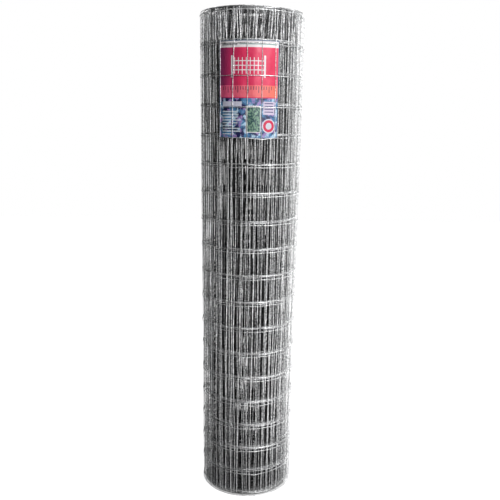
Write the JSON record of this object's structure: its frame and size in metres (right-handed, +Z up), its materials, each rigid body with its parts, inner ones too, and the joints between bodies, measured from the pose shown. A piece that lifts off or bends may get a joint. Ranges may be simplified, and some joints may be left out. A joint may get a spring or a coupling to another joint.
{
  "type": "roll of welded wire fencing",
  "caption": "Upright roll of galvanised welded wire mesh fencing, wound round an open bore, with a printed label held under its last turn.",
  "frame": {"origin": "middle of the roll's lower end, on the surface that it stands on", "axes": "+Z up along the roll's bore; the label faces -Y"},
  "size_m": [0.3768, 0.3764, 1.8468],
  "materials": {
    "galvanised_wire": "galvanised, dull with bright zinc streaks",
    "label_print": "glossy printed sheet"
  },
  "bodies": {
    "root": {"mesh_roll": "galvanised_wire", "label": "label_print"}
  },
  "joints": []
}
